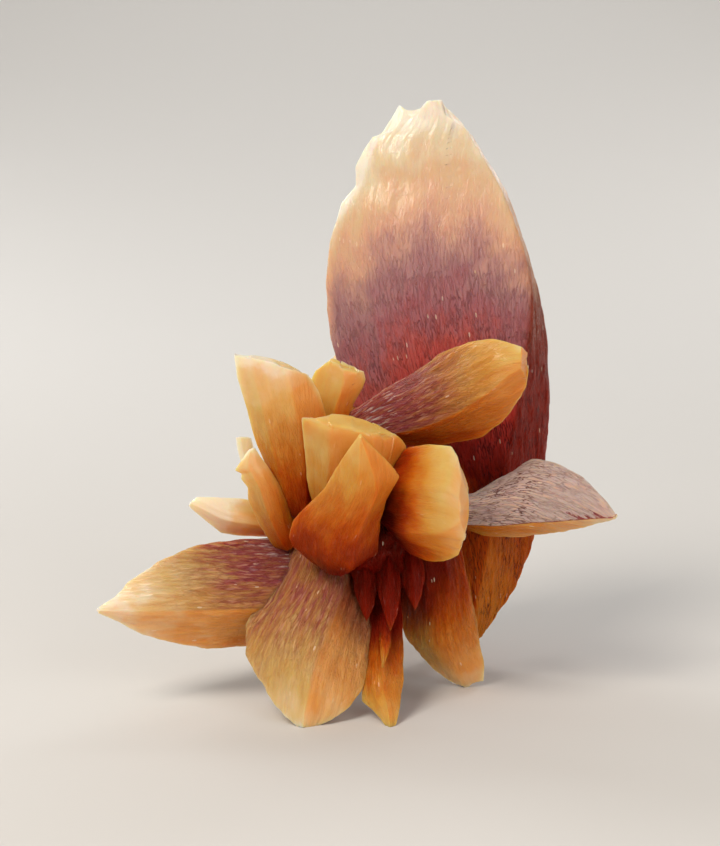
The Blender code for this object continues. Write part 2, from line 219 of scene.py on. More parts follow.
TALL_BLADE = Crystal(
    "tall_blade",
    root=(15.6, 15.5, 3.3),
    tip=(9.3, 22.5, 87.2),
    rings=(
        (2.0, -1.0, 2.5, 4.0),
        (10.0, -4.8, 9.0, 9.3),
        (20.0, -8.8, 17.5, 13.3),
        (32.0, -12.4, 29.5, 15.9),
        (42.5, -15.6, 39.0, 17.0),
        (50.5, -16.9, 48.5, 16.9),
        (58.5, -17.0, 56.0, 15.9),
        (65.5, -15.8, 63.5, 14.3),
        (71.0, -13.4, 70.0, 12.4),
        (73.4, -11.0, 73.2, 10.9),
        (76.3, -10.9, 75.5, 9.7),
        (79.0, -9.2, 78.0, 8.3),
        (80.5, -8.0, 79.8, 7.4),
        (80.9, -6.4, 81.0, 6.4),
        (85.2, -3.3, 85.2, 3.2),
    ),
    front_left=((0.40, 10.0), (0.25, 7.0), 0.15),
    front_right=((0.50, 12.5), (1.20, 6.0), 0.95),
    back=9.0,
    end_thickness=0.3,
    crown=(-3.4, 0.2),
    crown_places=(0.27, 0.62),
    step=0.3,
    colours=(0.0, 1.0),
    film=0.0,
)

ROSETTE = (
    Crystal(
        "left_tooth",
        (-8.7, 6.0, 18.6),
        (-38.2, -7.0, 15.8),
        rings=(
            (1.0, -9.3, 0.5, 5.4),
            (9.0, -10.5, 9.0, 7.0),
            (16.5, -9.3, 16.0, 7.0),
            (21.5, -7.3, 22.5, 5.7),
            (26.0, -5.1, 27.0, 3.4),
            (29.2, -2.6, 29.5, 1.6),
            (32.2, -0.5, 32.1, 0.5),
        ),
        front_left=((0.36, 6.5), (0.50, 5.0), 0.95),
        front_right=((0.70, 5.5), (0.75, 4.0), 0.3),
        back=6.5,
        colours=(0.54, 1.0),
        film=1.0,
    ),
    Crystal(
        "front_foot",
        (-4.6, 5.0, 22.3),
        (-8.6, -13.0, -0.5),
        rings=(
            (1.0, -3.8, 1.0, 6.3),
            (7.0, -7.2, 8.5, 8.6),
            (12.5, -8.4, 14.5, 10.7),
            (18.0, -8.9, 19.2, 9.8),
            (21.5, -8.2, 22.6, 7.4),
            (24.5, -6.9, 25.4, 4.8),
            (27.0, -4.4, 27.6, 2.6),
            (28.9, -1.1, 29.2, 0.1),
        ),
        front_left=((0.10, 4.0), (0.64, 6.0), 0.95),
        front_right=((0.60, 5.5), (0.80, 4.0), 0.2),
        back=5.5,
        colours=(0.42, 0.90),
        film=0.6,
        film_and_sheen_end=1.1,
    ),
    Crystal(
        "middle_foot",
        (1.8, 5.0, 16.6),
        (4.5, -13.2, -0.9),
        rings=(
            (-7.0, -5.0, -7.0, 5.2),
            (-1.0, -4.6, -1.0, 3.6),
            (6.0, -4.0, 6.0, 2.4),
            (12.0, -3.6, 12.6, 2.9),
            (17.0, -2.9, 19.3, 3.9),
            (21.0, -1.9, 21.8, 1.9),
            (24.0, -0.9, 23.5, 0.9),
            (25.2, -0.2, 25.0, 0.3),
        ),
        front_left=((0.45, 3.6), (0.5, 4.4), 0.8),
        front_right=((0.75, 2.8), (0.75, 3.0), 0.3),
        back=3.5,
        levels=4,
        colours=(0.02, 0.72),
        film=0.0,
    ),
    Crystal(
        "right_foot",
        (10.2, 2.0, 21.9),
        (16.4, 8.0, -0.3),
        rings=(
            (-3.0, -5.0, -3.0, 4.0),
            (2.5, -5.0, 2.3, 5.0),
            (8.0, -4.7, 7.7, 6.5),
            (13.7, -4.4, 12.6, 7.0),
            (17.2, -3.8, 15.6, 5.8),
            (20.3, -3.7, 19.2, 4.1),
            (23.4, -2.7, 22.6, 1.8),
        ),
        front_left=((0.28, 3.5), (0.35, 3.0), 0.9),
        front_right=((0.62, 4.0), (0.66, 3.0), 0.3),
        back=4.0,
        crown=(-0.6, 0.5),
        step=1.0,
        colours=(0.12, 0.94),
        film=0.0,
        coarseness=1.4,
    ),
    Crystal(
        "upper_right_tooth",
        (0.0, 6.0, 38.6),
        (23.5, -6.0, 52.8),
        rings=(
            (-8.0, -3.6, -8.0, 3.4),
            (2.5, -4.8, 2.0, 2.5),
            (8.0, -5.4, 7.0, 4.0),
            (12.5, -5.6, 10.8, 6.2),
            (18.5, -6.3, 17.4, 7.9),
            (24.1, -5.7, 21.5, 7.3),
            (27.1, -4.7, 25.0, 5.9),
            (28.9, -3.3, 27.4, 4.2),
            (30.5, -1.6, 28.5, 3.1),
        ),
        front_left=((0.40, 5.0), (0.30, 4.0), 0.35),
        front_right=((0.70, 5.5), (0.55, 4.0), 0.8),
        back=5.5,
        end_thickness=0.8,
        colours=(0.18, 0.73),
        film=1.0,
        film_and_sheen_end=1.0,
    ),
    Crystal(
        "upper_left_tooth",
        (-7.8, 4.0, 26.1),
        (-12.4, -2.0, 51.3),
        rings=(
            (2.5, -3.1, 2.3, 2.0),
            (9.0, -4.0, 7.0, 4.0),
            (14.3, -5.1, 11.6, 5.4),
            (21.4, -5.5, 16.4, 6.2),
            (25.2, -5.9, 20.5, 5.8),
            (29.2, -5.6, 23.4, 4.9),
        ),
        front_left=((0.18, 2.4), (0.24, 1.6), 0.95),
        front_right=((0.62, 3.2), (0.66, 2.4), 0.5),
        back=3.5,
        end_thickness=0.12,
        end_crease=0.4,
        crown=(0.3, 0.7),
        step=0.5,
        colours=(0.16, 1.04),
        film=0.0,
        coarseness=0.5,
    ),
    Crystal(
        "chipped_tooth",
        (-4.3, 6.0, 35.1),
        (-3.4, 5.0, 50.2),
        rings=(
            (-7.0, -3.4, -7.0, 2.8),
            (1.0, -4.0, 2.0, 2.8),
            (5.0, -4.1, 5.5, 2.8),
            (8.5, -4.1, 9.0, 2.8),
            (10.5, -4.1, 11.5, 4.2),
            (12.2, -3.9, 13.0, 4.5),
            (13.8, -3.2, 14.2, 4.1),
        ),
        front_left=((0.28, 1.6), (0.28, 1.2), 0.8),
        front_right=((0.62, 2.6), (0.58, 1.6), 0.7),
        back=2.6,
        end_crease=0.4,
        crown=(2.2, 0.6),
        levels=4,
        step=0.9,
        colours=(0.35, 0.80),
        film=0.0,
        coarseness=0.35,
    ),
    Crystal(
        "fore_wedge_left",
        (-1.2, 2.0, 25.7),
        (-1.4, -9.0, 44.7),
        rings=(
            (0.0, -4.7, 0.0, 4.9),
            (6.1, -5.9, 6.0, 6.5),
            (10.2, -6.6, 11.5, 7.3),
            (13.5, -6.7, 13.8, 8.2),
            (17.0, -6.9, 16.2, 8.2),
            (22.3, -7.2, 18.2, 7.1),
        ),
        front_left=((0.12, 3.4), (0.30, 2.6), 0.9),
        front_right=((0.66, 4.6), (0.72, 3.2), 0.7),
        back=4.5,
        end_thickness=0.25,
        end_crease=0.3,
        crown=(0.5, 1.0),
        step=0.5,
        colours=(0.46, 0.76),
        film=0.0,
        coarseness=0.2,
    ),
    Crystal(
        "fore_wedge",
        (-2.2, -3.0, 21.6),
        (0.0, -15.0, 43.0),
        rings=(
            (2.6, -8.2, 2.8, 4.8),
            (4.4, -8.8, 5.4, 4.6),
            (7.5, -8.5, 9.4, 4.4),
            (11.0, -6.4, 13.7, 5.0),
            (14.5, -4.3, 18.2, 6.5),
            (20.0, -2.3, 21.4, 3.5),
            (24.6, -0.2, 24.7, 0.3),
        ),
        front_left=((0.42, 4.0), (0.42, 4.0), 0.5),
        front_right=((0.74, 4.2), (0.74, 4.2), 0.95),
        back=4.5,
        end_thickness=0.7,
        step=0.3,
        colours=(0.15, 0.74),
        film=0.0,
        coarseness=0.3,
    ),
    Crystal(
        "fore_chisel",
        (3.6, -3.0, 30.6),
        (15.4, -13.0, 32.3),
        rings=(
            (-2.0, -4.0, -2.0, 2.0),
            (2.0, -6.6, 0.5, 4.6),
            (6.1, -9.1, 3.2, 7.4),
            (10.1, -9.5, 6.2, 8.5),
            (14.2, -9.2, 9.8, 8.4),
            (14.9, -7.7, 12.4, 7.2),
            (15.1, -4.6, 14.2, 4.4),
        ),
        front_left=((0.30, 3.6), (0.32, 3.0), 0.6),
        front_right=((0.74, 4.0), (0.70, 3.2), 0.85),
        back=4.5,
        end_thickness=0.45,
        end_crease=0.5,
        step=0.3,
        colours=(-0.12, 0.90),
        film=0.0,
        coarseness=0.2,
    ),
    Crystal(
        "right_tooth",
        (10.2, 8.0, 32.2),
        (37.4, -4.0, 29.0),
        rings=(
            (3.0, 1.6, 3.0, 6.2),
            (7.5, 0.6, 7.8, 6.6),
            (12.3, -3.4, 11.0, 6.8),
            (16.0, -6.4, 15.5, 6.1),
            (19.4, -6.4, 19.5, 4.8),
            (24.0, -5.1, 24.0, 3.1),
            (28.0, -2.3, 28.0, 1.2),
            (29.8, -0.4, 29.7, 0.4),
        ),
        front_left=((0.40, 5.0), (0.36, 4.5), 0.2),
        front_right=((0.78, 5.0), (0.80, 4.0), 0.95),
        back=5.0,
        end_thickness=0.7,
        colours=(0.30, 1.0),
        film=2.0,
        film_and_sheen_end=1.8,
        coarseness=1.3,
        slant=-0.3,
    ),
    Crystal(
        "left_finger",
        (-9.5, 8.0, 25.6),
        (-25.5, 4.0, 29.1),
        rings=(
            (-4.0, -2.4, -4.0, 1.8),
            (2.0, -2.9, 2.0, 2.0),
            (8.0, -3.5, 8.8, 2.3),
            (11.2, -3.6, 12.2, 2.0),
            (14.0, -1.9, 14.2, 1.8),
            (15.8, -0.9, 15.9, 1.5),
            (16.8, -0.2, 16.6, 0.8),
        ),
        front_left=((0.4, 2.2), (0.45, 1.8), 0.8),
        front_right=((0.75, 1.8), (0.75, 1.4), 0.3),
        back=2.5,
        levels=4,
        colours=(0.42, 1.30),
        film=0.0,
        coarseness=0.25,
    ),
    Crystal(
        "left_spike",
        (-12.1, 10.0, 27.8),
        (-17.3, 10.0, 38.3),
        rings=(
            (-8.0, -2.4, -8.0, 1.6),
            (4.0, -2.8, 4.0, 0.6),
            (8.3, -2.5, 8.0, 0.0),
            (10.6, -2.0, 10.0, 0.6),
            (12.3, -1.4, 11.3, 0.8),
        ),
        front_left=((0.35, 0.9), (0.35, 0.6), 0.8),
        front_right=((0.7, 0.8), (0.7, 0.5), 0.3),
        back=1.2,
        levels=4,
        colours=(1.10, 1.30),
        film=0.0,
        coarseness=0.2,
    ),
    Crystal(
        "left_flake",
        (-10.1, 3.0, 24.0),
        (-16.4, 0.0, 37.0),
        rings=(
            (0.0, -3.0, 0.0, 1.0),
            (3.6, -3.3, 3.0, 1.4),
            (9.0, -3.1, 6.5, 2.2),
            (10.6, -2.2, 9.5, 2.3),
            (12.2, -2.5, 11.3, 2.1),
            (13.0, -2.0, 12.6, 2.0),
            (13.9, -2.8, 13.8, 1.8),
            (15.8, 0.6, 15.9, 1.6),
        ),
        front_left=((0.4, 1.8), (0.4, 1.2), 0.7),
        front_right=((0.75, 1.5), (0.75, 1.0), 0.3),
        back=2.2,
        levels=4,
        step=0.3,
        colours=(0.34, 0.95),
        film=0.6,
        coarseness=0.4,
    ),
    splinter("left_splinter", (0.5, 0.0, 23.0), (0.9, -4.2, 13.5), width=3.8),
    splinter("middle_splinter", (4.0, -0.5, 23.0), (4.4, -6.0, 12.6), width=3.6),
    splinter("right_splinter", (7.4, 0.0, 24.0), (8.0, -3.6, 15.0), width=3.6),
    dogtooth(
        "small_drop",
        (3.8, -2.0, 14.2),
        (3.3, -9.0, 7.8),
        width=1.9,
        depth=1.8,
        colours=(0.1, 0.5),
        film=0.0,
    ),
    dogtooth("back_foot", (-4.0, 11.0, 20.0), (-9.7, 28.0, -0.5), width=13.5, depth=11.0),
    dogtooth("back_right_foot", (10.0, 14.0, 18.0), (12.5, 24.5, -0.5), width=9.5, depth=8.0),
    dogtooth("back_left_tooth", (-2.0, 11.0, 27.0), (-14.5, 29.0, 33.0), width=13.0, depth=11.0),
    dogtooth("back_tooth", (8.0, 22.0, 27.0), (9.0, 41.0, 34.0), width=15.0, depth=12.0),
    dogtooth("back_low_tooth", (10.0, 18.0, 19.0), (19.0, 36.0, 12.5), width=11.5, depth=9.5),
    dogtooth("back_high_tooth", (9.0, 20.0, 34.0), (13.0, 37.0, 49.0), width=11.0, depth=9.0),
    dogtooth("back_corner_tooth", (14.0, 18.0, 24.0), (24.0, 36.0, 24.0), width=11.0, depth=9.0),
    dogtooth("back_upper_tooth", (0.0, 15.0, 33.0), (-2.5, 32.0, 49.0), width=12.0, depth=10.0),
    dogtooth("back_side_tooth", (-4.0, 10.0, 30.0), (-17.0, 20.0, 43.0), width=8.0, depth=6.5),
    dogtooth("back_small_tooth", (1.0, 14.0, 22.0), (1.0, 33.0, 23.0), width=9.0, depth=7.5),
    dogtooth("under_tooth", (4.0, 8.0, 20.0), (2.0, 11.0, 4.5), width=9.0, depth=7.5),
)


def deselect():
    bpy.ops.object.select_all(action="DESELECT")


def blend(pair, share):
    """Between a pair of values at this share of the way, with no stop past the second."""
    return pair[0] + (pair[1] - pair[0]) * share


def root_ring(ring):
    """The small ring that rounds off a crystal's root, below its first ring."""
    left_along, left_across, right_along, right_across = ring
    middle = (left_across + right_across) / 2
    half = (right_across - left_across) / 2
    below = ROOT_REACH * 2 * half
    return (
        left_along - below,
        middle - ROOT_SCALE * half,
        right_along - below,
        middle + ROOT_SCALE * half,
    )


def ring_corners(crystal, ring, share, widest, last):
    """The six corners of one ring, in mm from the root."""
    left_along, left_across, right_along, right_across = ring
    fullness = ((right_across - left_across) / widest) ** FULLNESS_POWER
    tipward = max(0.0, (share - THINNING_STARTS) / (1 - THINNING_STARTS))
    taper = 1 - (1 - crystal.end_thickness) * tipward**2
    thickness = max(THINNEST, fullness * taper)

    def between(place, forward, lift):
        place = min(NEAREST_EDGE, place)
        across = blend((left_across, right_across), place)
        along = blend((left_along, right_along), place)
        return Vector((across, -forward * thickness, along + lift))

    corners = [None] * CORNERS
    corners[LEFT] = Vector((left_across, 0.0, left_along))
    corners[RIGHT] = Vector((right_across, 0.0, right_along))
    lifts = crystal.crown if last else (0.0, 0.0)
    fronts = ((FRONT_LEFT, crystal.front_left), (FRONT_RIGHT, crystal.front_right))
    for side, (corner, (root_end, tip_end, _)) in enumerate(fronts):
        place = blend((root_end[0], tip_end[0]), share)
        if last and crystal.crown_places:
            place = crystal.crown_places[side]
        corners[corner] = between(place, blend((root_end[1], tip_end[1]), share), lifts[side])
    corners[BACK_LEFT] = between(BACK_PLACES[0], -crystal.back, lifts[0])
    corners[BACK_RIGHT] = between(BACK_PLACES[1], -BACK_RIGHT_DEPTH * crystal.back, lifts[1])
    return corners


def unrolled(corners):
    """How far each corner lies round the ring from the front left one, to the left and to the right."""
    found = []
    for side, path in (
        (-1, (FRONT_LEFT, LEFT, BACK_LEFT)),
        (1, (FRONT_LEFT, FRONT_RIGHT, RIGHT, BACK_RIGHT, BACK_LEFT)),
    ):
        far = 0.0
        reached = {FRONT_LEFT: far}
        for a, b in zip(path, path[1:]):
            far += side * (corners[a].xy - corners[b].xy).length
            reached[b] = far
        found.append(reached)
    return found


def select_top(obj, height):
    """In edit mode, selects the face at this height and nothing else."""
    bpy.ops.mesh.select_mode(type="FACE")
    bpy.ops.mesh.select_all(action="DESELECT")
    bm = bmesh.from_edit_mesh(obj.data)
    for face in bm.faces:
        face.select_set(all(v.co.z > height - LEVEL_SLACK for v in face.verts))
    bm.select_flush_mode()
    bmesh.update_edit_mesh(obj.data)


def stack(name, storeys):
    """A six-sided prism of this many storeys, each 1 high, left in edit mode."""
    deselect()
    bpy.ops.mesh.primitive_cylinder_add(vertices=CORNERS, radius=1.0, depth=1.0, location=(0, 0, 0.5))
    obj = bpy.context.object
    obj.name = name
    bpy.ops.object.transform_apply(location=True, rotation=False, scale=False)
    bpy.ops.object.mode_set(mode="EDIT")
    for height in range(1, storeys):
        select_top(obj, height)
        bpy.ops.mesh.extrude_region_move(TRANSFORM_OT_translate={"value": (0, 0, 1)})
    return obj


def crease_edges(bm, place_of, crystal, last):
    """Keeps a crystal's edges crisp, and its outline in place, when it is subdivided."""
    crease = bm.edges.layers.float["crease_edge"]
    pin = bm.verts.layers.float["crease_vert"]
    creases = {
        LEFT: EDGE_CREASE,
        RIGHT: EDGE_CREASE,
        FRONT_LEFT: crystal.front_left[2],
        FRONT_RIGHT: crystal.front_right[2],
        BACK_LEFT: BACK_CREASE,
        BACK_RIGHT: BACK_CREASE,
    }
    for edge in bm.edges:
        (ring, corner), (_, other_corner) = (place_of[v] for v in edge.verts)
        if corner == other_corner:
            edge[crease] = creases[corner]
        elif ring in (0, last):
            edge[crease] = crystal.end_crease
    for vertex, (_, corner) in place_of.items():
        if corner in (LEFT, RIGHT):
            vertex[pin] = OUTLINE_CREASE


def map_grain(bm, place_of, crystal, rings, far, widest):
    """The Grain map runs round and along a crystal in mm, and Rims holds how near its two edges are."""
    grain = bm.loops.layers.uv["Grain"]
    rims = bm.loops.layers.uv["Rims"]
    for face in bm.faces:
        held = {place_of[v][1] for v in face.verts}
        leftward_side = held in ({LEFT, FRONT_LEFT}, {LEFT, BACK_LEFT})
        for loop in face.loops:
            ring, corner = place_of[loop.vert]
            across, _, along = loop.vert.co
            left, right = rings[ring][LEFT].x, rings[ring][RIGHT].x
            loop[rims].uv = (across - left, right - across)
            if len(face.verts) == CORNERS:
                loop[grain].uv = loop.vert.co.xy
                continue
            leftward, rightward = unrolled(rings[ring])
            around = leftward if leftward_side else rightward
            share = max(0.0, along / far)
            fan = (widest / (right - left)) ** FAN_OF_WIDTH * blend(FAN_OF_LENGTH, share)
            loop[grain].uv = (around[corner] * fan + crystal.slant * along, along)


def draw_up(crystal):
    """The coarse crystal in mm with its root at the origin and its tip up, and how far it reaches."""
    edges = (root_ring(crystal.rings[0]), *crystal.rings)
    last = len(edges) - 1
    far = max(max(ring[0], ring[2]) for ring in edges)
    widest = max(ring[3] - ring[1] for ring in edges)
    rings = []
    for k, ring in enumerate(edges):
        share = max(0.0, (ring[0] + ring[2]) / 2 / far)
        rings.append(ring_corners(crystal, ring, share, widest, k == last))

    obj = stack(crystal.name, last)
    bm = bmesh.from_edit_mesh(obj.data)
    bm.edges.layers.float.new("crease_edge")
    bm.verts.layers.float.new("crease_vert")
    bm.loops.layers.uv.new("Grain")
    bm.loops.layers.uv.new("Rims")
    place_of = {}
    for vertex in bm.verts:
        angle = math.atan2(vertex.co.y, vertex.co.x)
        place_of[vertex] = (round(vertex.co.z), math.floor(angle / math.tau * CORNERS) % CORNERS)
    for vertex, (ring, corner) in place_of.items():
        vertex.co = rings[ring][corner]
    crease_edges(bm, place_of, crystal, last)
    map_grain(bm, place_of, crystal, rings, far, widest)
    bmesh.update_edit_mesh(obj.data)
    bpy.ops.mesh.select_all(action="SELECT")
    bpy.ops.mesh.normals_make_consistent(inside=False)
    bpy.ops.object.mode_set(mode="OBJECT")
    return obj, far


def apply(obj, kind, **settings):
    """Adds a modifier of this kind to the object and applies it."""
    modifier = obj.modifiers.new(kind.lower(), kind)
    for name, value in settings.items():
        setattr(modifier, name, value)
    deselect()
    obj.select_set(True)
    bpy.context.view_layer.objects.active = obj
    bpy.ops.object.modifier_apply(modifier=modifier.name)


def read(parts, name, width, kind=np.float32):
    """One property of all the parts of a mesh as rows."""
    values = np.empty(len(parts) * width, kind)
    parts.foreach_get(name, values)
    return values.reshape(-1, width) if width > 1 else values


def write_map(mesh, name, corner_values):
    """A UV map with these values, one pair for each face corner."""
    layer = mesh.uv_layers.get(name) or mesh.uv_layers.new(name=name)
    layer.data.foreach_set("uv", np.ascontiguousarray(corner_values, np.float32).ravel())


def one_each(corner, values):
    """The same map with one pair at each point, so that a seam is displaced the same way in every run."""
    order = np.argsort(values.sum(axis=1))
    chosen = np.empty(corner.max() + 1, np.int32)
    chosen[corner[order]] = order
    return values[chosen][corner]


def smooth_step(ends, values):
    """From 0 at the first of the ends to 1 at the second, eased at both."""
    share = np.clip((values - ends[0]) / (ends[1] - ends[0]), 0.0, 1.0)
    return share * share * (3 - 2 * share)


def map_crystal(obj, crystal, far, turned):
    """The maps that the patterns and colours follow, and the parts that the displacements lift."""
    mesh = obj.data
    normals = read(mesh.vertices, "normal", 3)
    corner = read(mesh.loops, "vertex_index", 1, np.int32)
    grain = one_each(corner, read(mesh.uv_layers["Grain"].data, "uv", 2))
    height = read(mesh.vertices, "co", 3)[:, 2] / far

    def facing(direction, cosines):
        return smooth_step(cosines, normals @ np.array(turned.inverted() @ direction))[corner]

    share = np.clip(height[corner], 0.0, 1.0)
    # The film stands for a painted sheen too, on faces that look toward the light
    film_and_sheen_share = crystal.film * facing(FILM_AND_SHEEN_FROM, FILM_AND_SHEEN_FACING)
    film_and_sheen_share *= 1.0 - smooth_step((crystal.film_and_sheen_end - FILM_AND_SHEEN_FADE, crystal.film_and_sheen_end), share)
    coarse = crystal.coarseness * (1.0 - TIP_LOSES_MARKS * smooth_step(GRAIN_DIES_DOWN, share))
    write_map(mesh, "Zone", np.stack([blend(crystal.colours, share), film_and_sheen_share], 1))
    # Clear marks the faces away from the light, which take painted shade with a painted glow through them
    write_map(mesh, "Facing", np.stack([facing(SHADED_SIDE_FROM, SHADED_SIDE_FACING), coarse], 1))
    write_map(mesh, "Streaks", grain / np.array([1.0, STREAK_STRETCH]))
    write_map(mesh, "Columns", grain * np.array([1.0, 0.0]))

    for name, weight in (
        ("upper part", smooth_step(COLUMNS_COME_IN, height)),
        ("rough part", 1.0 - TIP_LOSES_RELIEF * smooth_step(GRAIN_DIES_DOWN, height)),
    ):
        # A group takes one weight for many points at a time, so the weights go in by tenths
        group = obj.vertex_groups.new(name=name)
        tenths = np.round(weight * 10)
        for value in range(1, 11):
            group.add(np.nonzero(tenths == value)[0].tolist(), value / 10, "REPLACE")


def pattern(name, basis, depth, size):
    """A noise texture whose cells are this many mm across. A UV map counts as two units of noise."""
    texture = bpy.data.textures.new(name, "CLOUDS")
    texture.noise_basis = basis
    texture.noise_depth = depth
    texture.noise_scale = 2 * size
    return texture


def roughen(obj, crystal):
    """The growth columns that step a crystal's edges near its tip, then its ribs and striations."""
    apply(
        obj,
        "DISPLACE",
        texture=pattern("growth columns", "CELL_NOISE", 0, COLUMN_WIDTH),
        texture_coords="UV",
        uv_layer="Columns",
        direction="Z",
        strength=crystal.step,
        mid_level=COLUMN_LEVEL,
        vertex_group="upper part",
    )
    for name, basis, depth, size, height, level in PATTERNS:
        apply(
            obj,
            "DISPLACE",
            texture=pattern(name, basis, depth, size),
            texture_coords="UV",
            uv_layer="Streaks",
            strength=height * min(1.0, max(SMOOTHEST, crystal.coarseness)),
            mid_level=level,
            vertex_group="rough part",
        )


def wear_flat(obj):
    """The lowest tips are worn level where they touch the ground."""
    bpy.ops.object.mode_set(mode="EDIT")
    bpy.ops.mesh.select_all(action="SELECT")
    bpy.ops.mesh.bisect(
        plane_co=(0, 0, 0), plane_no=(0, 0, 1), use_fill=True, clear_inner=True, threshold=1e-7
    )
    bpy.ops.object.mode_set(mode="OBJECT")


def settle(obj, material):
    """Moves a finished mesh to the frame's place in metres, finishes it, and hands it to the frame."""
    obj.data.transform(Matrix.Scale(MM, 4) @ Matrix.Translation(SPECIMEN_SHIFT))
    obj.data.materials.clear()
    obj.data.materials.append(material)
    deselect()
    obj.select_set(True)
    bpy.context.view_layer.objects.active = obj
    if min(v.co.z for v in obj.data.vertices) < 0:
        wear_flat(obj)
    bpy.ops.object.shade_smooth_by_angle(angle=math.radians(SHARP_TURN))
    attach(obj, "root")
    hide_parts(NODE)


def grow(crystal, material):
    """The finished crystal in its place."""
    root, tip = Vector(crystal.root), Vector(crystal.tip)
    along = (tip - root).normalized()
    back = Vector((0.0, 1.0, 0.0))
    back = (back - along * back.dot(along)).normalized()
    turned = Matrix((back.cross(along), back, along)).transposed()

    obj, far = draw_up(crystal)
    apply(obj, "SUBSURF", levels=crystal.levels, render_levels=crystal.levels)
    map_crystal(obj, crystal, far, turned)
    roughen(obj, crystal)
    obj.vertex_groups.clear()
    for spare in ("UVMap", "Streaks", "Columns"):
        obj.data.uv_layers.remove(obj.data.uv_layers[spare])
    obj.data.transform(Matrix.Translation(root) @ turned.to_4x4())
    settle(obj, material)


def heart(material):
    """The lump in the middle of the rosette, dark with its root colour and the painted crevice shade, and
    hidden but for the gaps between crystals.
    """
    deselect()
    bpy.ops.mesh.primitive_ico_sphere_add(subdivisions=5, radius=1.0)
    obj = bpy.context.object
    obj.name = "rosette_heart"
    obj.data.uv_layers.remove(obj.data.uv_layers[0])
    obj.scale = HEART_HALF_SIZES
    obj.location = HEART_MIDDLE
    bpy.ops.object.transform_apply(location=True, rotation=True, scale=True)
    crags = bpy.data.textures.new("crags", "VORONOI")
    crags.noise_scale = CRAG_SIZE
    apply(
        obj,
        "DISPLACE",
        texture=crags,
        texture_coords="LOCAL",
        strength=CRAG_HEIGHT,
        mid_level=CRAG_LEVEL,
    )
    corner = read(obj.data.loops, "vertex_index", 1, np.int32)
    points = read(obj.data.vertices, "co", 3)
    write_map(obj.data, "Grain", points[corner][:, [0, 2]])
    for name, values in (("Zone", (0.0, 0.0)), ("Facing", (0.0, 1.0)), ("Rims", (CRAG_SIZE, CRAG_SIZE))):
        write_map(obj.data, name, np.tile(values, (len(corner), 1)))
    settle(obj, material)


def colour(code):
    """A linear RGBA colour from an sRGB hex code."""
    channels = [int(code[k : k + 2], 16) / 255 for k in (1, 3, 5)]
    linear = [c / 12.92 if c <= 0.04045 else ((c + 0.055) / 1.055) ** 2.4 for c in channels]
    return (*linear, 1.0)


def add(tree, kind, inputs, **settings):
    """Adds a node with its settings, and sets its inputs or links them from nodes or sockets."""
    node = tree.nodes.new("ShaderNode" + kind)
    stops = settings.pop("stops", ())
    for name, value in settings.items():
        setattr(node, name, value)
    if stops:
        ramp = node.color_ramp.elements
        for stop, (place, code) in zip(ramp, (stops[0], stops[-1])):
            stop.position, stop.color = place, colour(code)
        for place, code in stops[1:-1]:
            ramp.new(place).color = colour(code)
    for name, value in inputs.items():
        if isinstance(name, int):
            socket = node.inputs[name]
        else:
            socket = next(one for one in node.inputs if one.enabled and one.name == name)
        if isinstance(value, bpy.types.Node):
            value = next(one for one in value.outputs if one.enabled)
        if isinstance(value, bpy.types.NodeSocket):
            tree.links.new(value, socket)
        else:
            socket.default_value = value
    return node


@dataclass
class Growth:
    """How one growth of the calcite is coloured and marked.

    Stops are its colours from root to tip, and the shaded side stops are painted shade for its faces
    that look away from the light, with a painted glow of light through them, shown by the shaded side
    share. Bow bends the colour bands down on both sides of the blade's middle. Margins are how much
    paler the left and the right edge are, a painted glow of light through the thin edges, and how many
    mm in. Streakiness and cloudiness are how far streaks and clouds shift the colours along a crystal.
    Strokes are the dark marks round the hillocks, partly the crystal's own growth lines and partly
    painted shade in their grooves: how strong, how many mm across the grain, and their colour. Glow is
    how far light spreads under the skin, in metres.
    """

    name: str
    stops: tuple
    shaded_side_stops: tuple
    shaded_side_share: float
    bow: float
    glow_margins: tuple
    streakiness: float
    cloudiness: float
    strokes: tuple
    glow: float


# Stops go from root to tip. The red phantom of the blade's younger self shows through its cream.
BLADE_GROWTH = Growth(
    "banded calcite, naturally grown",
    stops=(
        (0.04, "#D8681A"),
        (0.25, "#C44A0E"),
        (0.33, "#8A160E"),
        (0.46, "#CC423C"),
        (0.57, "#C05C56"),
        (0.64, "#AA6A70"),
        (0.71, "#A8787A"),
        (0.755, "#B98A80"),
        (0.80, "#CE9E84"),
        (0.87, "#D2AE8A"),
        (0.93, "#D6C4A4"),
        (0.985, "#E2DCCC"),
    ),
    # Painted shade for the faces that look away from the light
    shaded_side_stops=(
        (0.10, "#D87A20"),
        (0.29, "#B84C0C"),
        (0.35, "#8A1404"),
        (0.58, "#8C1A06"),
        (0.72, "#8C3A18"),
        (0.82, "#CE9670"),
    ),
    shaded_side_share=0.95,
    bow=3.4e-5,
    # Painted glow: how much paler the thin edges are
    glow_margins=((0.09, 2.4), (0.02, 2.0)),
    streakiness=0.12,
    cloudiness=0.16,
    # The strokes' dark colour is partly painted shade in the grooves
    strokes=(0.85, 0.65, "#480810"),
    glow=0.002,
)
